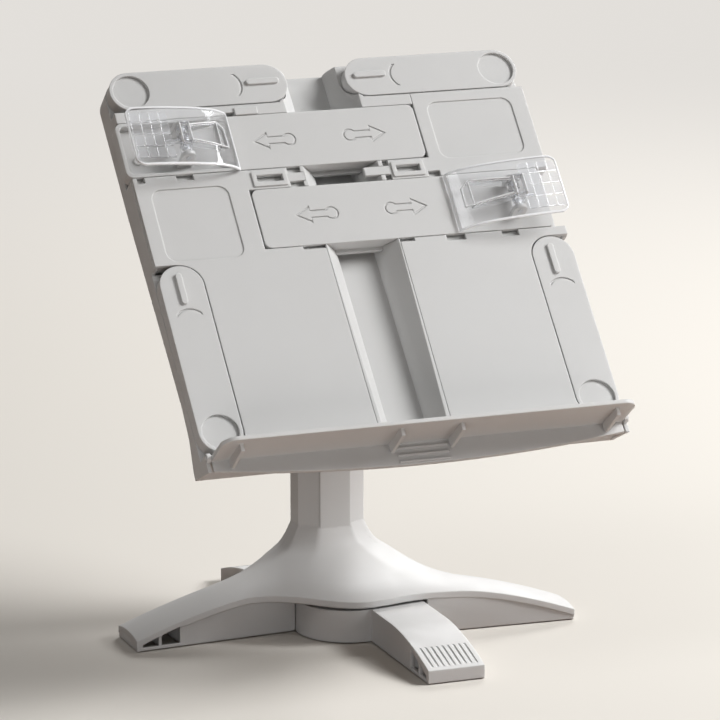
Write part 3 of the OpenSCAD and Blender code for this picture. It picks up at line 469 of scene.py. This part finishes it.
# %% Four finishes from one recipe
shell_plastic = moulded("shell_plastic", (0.60, 0.60, 0.595), rough=0.50, grain=0.12,
                        specular=0.4, edge_round=0.7 * MM, glow=0.35)
inner_plastic = moulded("inner_plastic", (0.52, 0.52, 0.51), rough=0.5, grain=0.15, edge_round=0.5 * MM)
glide_plastic = moulded("glide_plastic", (0.80, 0.80, 0.77), rough=0.38, grain=0.05)
rubber = moulded("rubber", (0.035, 0.035, 0.036), rough=0.7, grain=0.4, grain_cells=900)
print([finish.name for finish in (shell_plastic, inner_plastic, glide_plastic, rubber)])

# %% [markdown]
# ## Steel
#
# Steel shows only at screws, pins and springs. Zinc plate has a faint crystalline mottle; the
# spring wire is drawn, so it is smoother and a little darker. Both are full metal, whose colour is
# that of its mirror, so a single noise on the roughness is enough.

# %% Zinc plate and spring wire
MOTTLE_CELLS = 700
MOTTLE_SMOOTHER = 0.07
MOTTLE_ROUGHER = 0.09


def metal(name, color, rough):
    """Metal whose roughness is mottled by a medium noise."""
    material, shader = new_material(name)
    shader.inputs["Base Color"].default_value = (*color, 1)
    shader.inputs["Metallic"].default_value = 1.0
    mottle = noise(material, MOTTLE_CELLS, detail=2)
    roughness = drifting(material, mottle, rough - MOTTLE_SMOOTHER, rough + MOTTLE_ROUGHER)
    join(material, roughness, shader.inputs["Roughness"])
    return material


zinc_steel = metal("zinc_steel", (0.62, 0.63, 0.65), rough=0.32)
spring_wire = metal("spring_wire", (0.55, 0.56, 0.58), rough=0.2)
print([finish.name for finish in (zinc_steel, spring_wire)])

# %% [markdown]
# ## Clear plastic
#
# The clips are clear, with a faint waviness from the mould. Refraction alone would throw a black
# shadow, because the renderer looks for a lamp along a straight line and a refracting surface
# stops it. So the material is seen as clear plastic, while shadow rays and bounced light pass
# straight through and are only dimmed. At its rims and bars real clear plastic gives back the light
# that runs inside it and shines white. Here that shine is painted: those faces take a nearly solid
# white finish, a painted highlight.

# %% Clear plastic and its painted shine at the edges
CLEAR_TINT = (0.97, 0.98, 1.0, 1)
CLEAR_SHARE = 0.96
CLEAR_BEND = 1.5
CLEAR_ROUGHNESS = 0.07
WAVE_CELLS = 90
WAVE_STRENGTH = 0.1
WAVE_DEPTH = 0.6 * MM
SHADOW_TINT = (0.88, 0.88, 0.88, 1)
EDGE_CLEAR_SHARE = 0.1


def clear(name):
    """Clear plastic that lamps and bounced light pass through, only a little dimmed."""
    material, shader = new_material(name)
    shader.inputs["Base Color"].default_value = CLEAR_TINT
    shader.inputs["Transmission Weight"].default_value = CLEAR_SHARE
    shader.inputs["IOR"].default_value = CLEAR_BEND
    shader.inputs["Roughness"].default_value = CLEAR_ROUGHNESS
    bump = add(material, "ShaderNodeBump", Strength=WAVE_STRENGTH, Distance=WAVE_DEPTH)
    join(material, noise(material, WAVE_CELLS, detail=1), bump.inputs["Height"])
    join(material, bump.outputs["Normal"], shader.inputs["Normal"])
    ray = add(material, "ShaderNodeLightPath")
    lighting = combine(material, "MAXIMUM", ray.outputs["Is Shadow Ray"], ray.outputs["Is Diffuse Ray"])
    passing = add(material, "ShaderNodeBsdfTransparent", Color=SHADOW_TINT)
    show(material, crossfade(material, lighting, shader.outputs["BSDF"], passing.outputs["BSDF"]))
    return material


clear_plastic = clear("clear_plastic")
# Painted highlight: a nearly solid white that stands in for the shine of clear plastic at its rims and bars.
painted_shine_edge = moulded("painted_shine_edge", (0.93, 0.94, 0.96), rough=0.12, grain=0.02,
                     grain_cells=400, shade_drift=0.01)
shine_edge_shader = painted_shine_edge.node_tree.nodes["Principled BSDF"]
shine_edge_shader.inputs["Transmission Weight"].default_value = EDGE_CLEAR_SHARE
print([finish.name for finish in (clear_plastic, painted_shine_edge)])

# %% [markdown]
# ## Which piece takes which finish
#
# The record says for each part what it is made of and which body it moves with. A list of both
# could be kept here, but reading the record means that the two can't disagree.

# %% Finishes by material slot
FINISH_OF = {
    "shell_plastic": shell_plastic,
    "inner_plastic": inner_plastic,
    "glide_plastic": glide_plastic,
    "clear_plastic": clear_plastic,
    "steel": zinc_steel,
    "spring_steel": spring_wire,
    "rubber": rubber,
}
record = frame["record"]
BODY_OF = {node: body for body, nodes in record["behaviour"]["bodies"].items() for node in nodes}
SLOT_OF = {part["node"]: part["material_slot"] for part in record["subparts"]}


def dress(piece, node):
    """Gives a piece a node's finish, lets it ride on the node's body and stands it in for the node."""
    piece.data.materials.append(FINISH_OF[SLOT_OF[node]])
    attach(piece, BODY_OF[node])
    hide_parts(node)


# %% [markdown]
# ## Soft edges on the mouldings
#
# No moulded edge is sharp: each has a small round that catches a thin line of light, and those
# lines are what make plastic look like plastic. The plastic's shader already rounds the light over
# each edge. The frame's nodes are loose triangles, though, so a curved wall would show its facets.
# A bevel in the mesh would trip over them too. Each visible moulding therefore gets a copy whose
# triangles are joined and smoothed, with a hard line kept only where two faces really meet at an
# edge, and weighted normals, which keep large flat faces flat.

# %% Join and smooth the mouldings
MERGE_DISTANCE = 3e-6
SHARP_EDGE = math.radians(28)
MOULDINGS = [
    "base_shell", "cross_bar", "column_collar", "inner_post", "board_tray", "left_cover",
    "right_lower_cover", "right_upper_cover", "ledge_flap", "hinge_bracket", "upper_left_arm",
    "upper_right_arm", "lower_left_arm", "lower_right_arm", "upper_slide", "lower_slide",
]


def keep_flats_flat(piece):
    """Lets the large faces at each corner decide how it is shaded."""
    flatten = piece.modifiers.new("flat faces stay flat", "WEIGHTED_NORMAL")
    flatten.keep_sharp = True


def smoothed(node):
    """A joined copy of a node, shaded smooth except across edges sharper than SHARP_EDGE."""
    mesh = bpy.data.meshes.new(node + "_joined")
    cells = bmesh.new()
    cells.from_mesh(frame["nodes"][node].data)
    bmesh.ops.remove_doubles(cells, verts=cells.verts, dist=MERGE_DISTANCE)
    for edge in cells.edges:
        edge.smooth = edge.calc_face_angle(math.pi) < SHARP_EDGE
    cells.to_mesh(mesh)
    cells.free()
    mesh.polygons.foreach_set("use_smooth", np.ones(len(mesh.polygons), bool))
    piece = bpy.data.objects.new(node + "_moulding", mesh)
    scene.collection.objects.link(piece)
    keep_flats_flat(piece)
    dress(piece, node)
    return piece


for node in MOULDINGS:
    piece = smoothed(node)
    print(piece.name, len(piece.data.polygons), "faces")

# %% [markdown]
# ## The clear clips
#
# Each clip is one clear moulding. Its plate lifts off the board from the jaw to the grip, so its
# height over the board is a curve: it rises fast by the jaw and then gently. The plate has round
# corners, and its edge is a half round, where clear plastic shows a bright line; here that line is
# a painted highlight, a nearly white finish on the rim. On the plate stand a small slotted loop
# near the jaw, two ribs, the hinge housing, and a grid of little pillows that a fingertip holds.
# The frame's clips have the same bend, but square edges and plain blocks for the small parts, and
# clear plastic shows that up. Made again as surfaces of two parameters, they get the real ones'
# round edges. Their sizes are in millimetres: out from the jaw, across along the board's height,
# and high from the board's face toward the reader.

# %% The clip's own coordinates
CLIP_LENGTH = 62.0
CLIP_HEIGHT = 37.0
CLIP_THICK = 1.8
JAW_GAP = 0.1
QUICK_RISE = 8.6
QUICK_RUN = 9
SLOW_RISE = 4.4
SLOW_RUN = 60
PIN_HEIGHT = 5.2
# How far out from its jaw each clip's pin lies.
PIN_OUT = {"left_clip": 29.4, "right_clip": 36.6}
# The jaw's place across and up the board, and the side that the clip points to.
JAWS = {
    "left_clip": (-57.6, 191.4, -1.0),
    "right_clip": (56.4, 142.7, 1.0),
}


def smoothstep(t):
    """0 to 1 with level ends: 3 t^2 - 2 t^3."""
    t = np.clip(t, 0, 1)
    return t * t * (3 - 2 * t)


def clip_rise(out):
    """Height of the plate's top: a quick rise that dies away exponentially, and a slow smoothstep."""
    quick = QUICK_RISE * (1 - np.exp(-np.maximum(out, 0) / QUICK_RUN))
    return CLIP_THICK + JAW_GAP + quick + SLOW_RISE * smoothstep(out / SLOW_RUN)


def clip_points(node, out, across, height):
    """World place of clip points: out from the jaw, across up the board, height toward the reader."""
    jaw_x, jaw_z, side = JAWS[node]
    local = np.stack([jaw_x + side * out, -height, jaw_z + across], axis=-1)
    return on_board(local * MM)


print("the plate's top rises from", clip_rise(0).round(2), "to", clip_rise(CLIP_LENGTH).round(2), "mm")

# %% [markdown]
# The plate could be a flat box with bevelled edges, bent by a modifier. Carried along the clip it
# takes its bend at once: at each station the section is a flat slot shape with half-round ends.
# The stations crowd toward both ends, and there the section also thins, so that the jaw and the
# grip end in a round edge too. The faces on the rim are marked for the white finish, a painted
# highlight that stands in for the shine of clear plastic at its rim.

# %% The plate
GRIP_CORNER = 6.0
JAW_CORNER = 1.2
STATIONS = 61
SECTION_POINTS = 72
FLAT_STRETCH = 1.6
FLAT_POWER = 0.6
THINNEST = 0.02
RIM_WIDTH = 1.3
RIM_SHARE = 0.56
stations = CLIP_LENGTH * (0.5 - 0.5 * np.cos(np.linspace(0, math.pi, STATIONS)))
section_turn = np.linspace(0, 2 * math.pi, SECTION_POINTS, endpoint=False)
face_middle = section_turn + math.pi / SECTION_POINTS
# The rim faces, which take the painted white highlight.
at_end = np.minimum(stations[1:], CLIP_LENGTH - stations[:-1]) < RIM_WIDTH
at_side = np.abs(np.cos(face_middle)) > RIM_SHARE
shine_painted_rim = at_end[:, None] | at_side[None, :]


def half_height(out):
    """Half the plate's height at a station: full, less the round corners at the grip and the jaw."""
    grip = np.clip((out - (CLIP_LENGTH - GRIP_CORNER)) / GRIP_CORNER, 0, 1)
    jaw = np.clip((JAW_CORNER - out) / JAW_CORNER, 0, 1)
    grip_cut = GRIP_CORNER * (1 - np.sqrt(1 - grip**2))
    return CLIP_HEIGHT / 2 - grip_cut - JAW_CORNER * (1 - np.sqrt(1 - jaw**2))


def plate_grid(node):
    """Turn a, station s: across = half height * cos(a) pushed outward, height = end round * sin(a)."""
    end_round = CLIP_THICK / 2
    edge = np.minimum(stations, CLIP_LENGTH - stations)
    thin = np.sqrt(1 - (1 - np.clip(edge / end_round, THINNEST, 1)) ** 2)
    cosine = np.cos(section_turn)
    flat = np.sign(cosine) * np.minimum(1, np.abs(cosine) * FLAT_STRETCH) ** FLAT_POWER
    half = half_height(stations)[:, None] - end_round
    across = flat[None, :] * half + (cosine * end_round)[None, :]
    middle = (clip_rise(stations) - end_round)[:, None]
    height = middle + np.sin(section_turn)[None, :] * end_round * thin[:, None]
    out = np.broadcast_to(stations[:, None], across.shape)
    return clip_points(node, out, across, height)


def closed_tube(grid):
    """Points and faces of a tube of closed sections, with both ends capped."""
    rows, columns = grid.shape[:2]
    faces = grid_faces(rows, columns, closed=True).tolist()
    faces.append(list(range(columns))[::-1])
    faces.append(list(range((rows - 1) * columns, rows * columns)))
    return grid.reshape(-1, 3), faces


print("plate of", shine_painted_rim.size, "faces,", shine_painted_rim.sum(), "of them on the rim")

# %% [markdown]
# The loop, the ribs and the housing's walls are all bars that stand on the plate. Straight blocks
# would sink in or float where the plate bends. A bar made as a section carried along a path, with
# each point measured from the plate's own height, follows the bend wherever it goes.

# %% Bars on the plate: the loop and the ribs
BAR_POINTS = 12
BAR_SINK = 0.5
LOOP_CORNERS = np.array([(5.6, -6.0), (10.0, -5.8), (9.8, 9.4), (5.8, 5.6), (5.6, -6.0)])
LOOP_STATIONS = 61
LOOP_WIDTH = 0.8
LOOP_TALL = 0.6
RIB_START = 10
RIB_STATIONS = 25
RIB_WIDTH = 0.9
RIB_TALL = 0.5
# Each rib's place across, at the loop and at the housing.
RIBS = ((-5.6, -2.7), (9.2, 6.6))
HOUSING_TO_JAW = 2.4


def bar_on_plate(node, out, across, width, tall):
    """A bar along a path: its section is a rounded arch over width, tall above the plate."""
    turn = np.linspace(0, 2 * math.pi, BAR_POINTS, endpoint=False)
    run = np.gradient(out)
    rise = np.gradient(across)
    length = np.hypot(run, rise)
    offset = np.cos(turn) * width / 2
    lift = np.where(np.sin(turn) > 0, np.sin(turn) * tall, -BAR_SINK)
    path_out = out[:, None] + (-rise / length)[:, None] * offset
    path_across = across[:, None] + (run / length)[:, None] * offset
    return closed_tube(clip_points(node, path_out, path_across, clip_rise(path_out) + lift))


def loop_bar(node):
    """The slotted loop: a bar whose path runs straight from each corner to the next."""
    step = np.linspace(0, len(LOOP_CORNERS) - 1, LOOP_STATIONS)
    out, across = [np.interp(step, np.arange(len(LOOP_CORNERS)), line) for line in LOOP_CORNERS.T]
    return bar_on_plate(node, out, across, LOOP_WIDTH, LOOP_TALL)


def rib_path(node, near, far):
    """A straight path from the loop to the housing, from near to far across."""
    out = np.linspace(RIB_START, PIN_OUT[node] - HOUSING_TO_JAW, RIB_STATIONS)
    return out, np.linspace(near, far, RIB_STATIONS)


print("loop of", len(loop_bar("left_clip")[1]), "faces,", len(RIBS), "ribs")

# %% [markdown]
# The hinge housing is four low walls round the pin. Under the plate, thin webs run along the ribs
# and the housing's sides down to the pin, and two barrels turn on it. On an opaque clip they could
# be left out, but here they show through the plate.

# %% Webs and barrels under the plate
WEB_THICK = 1.4
WEB_FOOT = 3.8
WEB_LEAST = 0.1
BARREL_POINTS = 40
BARREL_LENGTH = 4.5
BARREL_OUTER = 3.4
BARREL_INNER = 1.56
BARREL_STARTS = (-7.7, 3.2)


def web_under_plate(node, out, across, thick, foot):
    """A thin wall along a path: its section is a rectangle from height foot up into the plate."""
    side = np.array([-0.5, 0.5, 0.5, -0.5]) * thick
    top = np.broadcast_to(clip_rise(out)[:, None] - CLIP_THICK / 2, (out.size, 2))
    height = np.concatenate([np.full((out.size, 2), foot), np.maximum(top, foot + WEB_LEAST)], axis=1)
    path_out = np.broadcast_to(out[:, None], height.shape)
    return closed_tube(clip_points(node, path_out, across[:, None] + side, height))


def barrel(node, low):
    """A ring round the pin: a rectangular section, low to high and inner to outer, turned full circle."""
    turn = np.linspace(0, 2 * math.pi, BARREL_POINTS, endpoint=False)[:, None]
    radius = np.array([BARREL_OUTER, BARREL_OUTER, BARREL_INNER, BARREL_INNER])
    high = low + BARREL_LENGTH
    across = np.broadcast_to(np.array([low, high, high, low]), (turn.size, 4))
    out = PIN_OUT[node] + radius * np.cos(turn)
    grid = clip_points(node, out, across, PIN_HEIGHT + radius * np.sin(turn))
    number = np.arange(turn.size * 4).reshape(turn.size, 4)
    next_turn = np.roll(number, -1, 0)
    corners = [number, next_turn, np.roll(next_turn, -1, 1), np.roll(number, -1, 1)]
    return grid.reshape(-1, 3), np.stack(corners, axis=-1).reshape(-1, 4).tolist()


print("barrel of", len(barrel("left_clip", BARREL_STARTS[0])[1]), "faces")

# %% [markdown]
# The housing could be a hollow block, but its walls would have to be trimmed to the plate's bend.
# Bars and webs already follow it, so the housing is made of both: a wall on each of its four
# sides, and webs under the two long ones that reach down to the pin.

# %% The hinge housing
HOUSING_TO_GRIP = 3.2
HOUSING_LOW = -4.6
HOUSING_HIGH = 7.4
HOUSING_WALL = 1.3
HOUSING_TALL = 1.6
END_STATIONS = 15
SIDE_STATIONS = 9


def housing_ends(node):
    """The two walls across the clip, one on the jaw's side of the pin and one on the grip's."""
    across = np.linspace(HOUSING_LOW, HOUSING_HIGH, END_STATIONS)
    ends = (PIN_OUT[node] - HOUSING_TO_JAW, PIN_OUT[node] + HOUSING_TO_GRIP)
    return [bar_on_plate(node, np.full(END_STATIONS, out), across, HOUSING_WALL, HOUSING_TALL)
            for out in ends]


def housing_sides(node):
    """The two walls along the clip, each with its web down to the pin."""
    out = np.linspace(PIN_OUT[node] - HOUSING_TO_JAW, PIN_OUT[node] + HOUSING_TO_GRIP, SIDE_STATIONS)
    sides = []
    for level in (HOUSING_LOW, HOUSING_HIGH):
        across = np.full(SIDE_STATIONS, level)
        sides.append(bar_on_plate(node, out, across, HOUSING_WALL, HOUSING_TALL))
        sides.append(web_under_plate(node, out, across, HOUSING_WALL, PIN_HEIGHT))
    return sides


print("housing of", len(housing_ends("left_clip")) + len(housing_sides("left_clip")), "walls")

# %% [markdown]
# The pillows are low blocks with rounded edges. Domes would be simpler, but through clear plastic
# a dome works as a lens and looks like a dark bead. A flat top with a narrow quarter round at its
# edges shows only a thin bright outline, as the real ones do.

# %% The grid of pillows
PILLOW_EDGE = 0.15
PILLOW_COLUMNS = 4
PILLOW_ROWS = 4
PILLOW_WIDTH = 4.8
PILLOW_HEIGHT = 6.6
PILLOW_TALL = 0.5
PILLOW_SINK = 0.05
GRIP_TO_PILLOW = 4.4
COLUMN_STEP = 5.5
FIRST_ROW = -11.1
ROW_STEP = 7.4
# Stations over half a pillow's width, close together where its edge is round.
PILLOW_LINE = np.array([-1, -0.985, -0.94, -0.85, -0.3, 0.3, 0.85, 0.94, 0.985, 1])


def quarter_round(x):
    """1 over the flat middle, then a quarter circle down to 0 at each edge."""
    return np.sqrt(1 - np.clip((np.abs(x) - 1 + PILLOW_EDGE) / PILLOW_EDGE, 0, 1) ** 2)


def pillow(node, out, across):
    """A patch whose height is tall * quarter_round(x) * quarter_round(y), closed by a flat face."""
    x, y = np.meshgrid(PILLOW_LINE, PILLOW_LINE, indexing="ij")
    top = PILLOW_TALL * quarter_round(x) * quarter_round(y)
    place_out = out + x * PILLOW_WIDTH / 2
    place_across = across + y * PILLOW_HEIGHT / 2
    grid = clip_points(node, place_out, place_across, clip_rise(place_out) + top - PILLOW_SINK)
    number = np.arange(x.size).reshape(x.shape)
    rim = np.concatenate([number[0, :-1], number[:-1, -1], number[-1, :0:-1], number[:0:-1, 0]])
    return grid.reshape(-1, 3), grid_faces(*x.shape).tolist() + [rim.tolist()]


def pillow_grid(node):
    """Rows and columns of pillows by the grip."""
    return [pillow(node, CLIP_LENGTH - GRIP_TO_PILLOW - COLUMN_STEP * column, FIRST_ROW + ROW_STEP * row)
            for column in range(PILLOW_COLUMNS) for row in range(PILLOW_ROWS)]


print(len(pillow_grid("left_clip")), "pillows")

# %% [markdown]
# All the parts of a clip go into one mesh, because the real one is a single moulding. A boolean
# could melt them into one skin, but where thin forms cross at odd angles it leaves slivers. So
# each stays a closed form that sinks a little into the next, and its faces are turned outward once
# they are together. The plate's rim, the loop, the ribs and the housing's ends take the white
# finish, a painted highlight for the shine of clear plastic.

# %% Put the clips together
def painted_shine_parts(node):
    """The plate first, then the bars that take the painted white highlight."""
    ribs = [bar_on_plate(node, *rib_path(node, *rib), RIB_WIDTH, RIB_TALL) for rib in RIBS]
    return [closed_tube(plate_grid(node)), loop_bar(node)] + ribs + housing_ends(node)


def clear_parts(node):
    """Webs, the housing's sides, barrels and pillows."""
    webs = [web_under_plate(node, *rib_path(node, *rib), WEB_THICK, WEB_FOOT) for rib in RIBS]
    barrels = [barrel(node, low) for low in BARREL_STARTS]
    return webs + housing_sides(node) + barrels + pillow_grid(node)


def joined_parts(parts):
    """Points and faces of many parts as one mesh, each part's corners counted on from the last."""
    points = np.concatenate([points for points, _ in parts])
    starts = np.cumsum([0] + [len(points) for points, _ in parts])
    faces = [[start + corner for corner in face]
             for start, (_, faces) in zip(starts, parts) for face in faces]
    return points, faces


def turn_outward(mesh):
    """Makes the faces of every closed form point out of it."""
    shells = bmesh.new()
    shells.from_mesh(mesh)
    bmesh.ops.recalc_face_normals(shells, faces=shells.faces)
    shells.to_mesh(mesh)
    shells.free()


def clip_piece(node):
    """One clip as one object, with the painted white highlight as its second finish."""
    bright = painted_shine_parts(node)
    points, faces = joined_parts(bright + clear_parts(node))
    piece = mesh_object(node + "_clear", points, faces)
    turn_outward(piece.data)
    keep_flats_flat(piece)
    dress(piece, node)
    piece.data.materials.append(painted_shine_edge)
    plate_faces = len(bright[0][1])
    painted_shine_faces = sum(len(part_faces) for _, part_faces in bright)
    # The loop, the ribs, the housing's ends and the plate's rim get the painted white highlight.
    finish = np.zeros(len(faces), np.int32)
    finish[plate_faces:painted_shine_faces] = 1
    finish[:shine_painted_rim.size] = shine_painted_rim.ravel()
    piece.data.polygons.foreach_set("material_index", finish)
    return piece


for node in JAWS:
    piece = clip_piece(node)
    print(piece.name, len(piece.data.polygons), "faces")

# %% [markdown]
# ## The nodes that stay
#
# Pins, screws, washers, springs, pads and glides already have their real shape. New pieces would
# gain nothing, so they only take their finish.

# %% Give the other nodes their finish
for node, carried in frame["nodes"].items():
    if node not in MOULDINGS and node not in JAWS:
        carried.data.materials.clear()
        carried.data.materials.append(FINISH_OF[SLOT_OF[node]])
print(len(frame["nodes"]) - len(MOULDINGS) - len(JAWS), "nodes keep their shape")
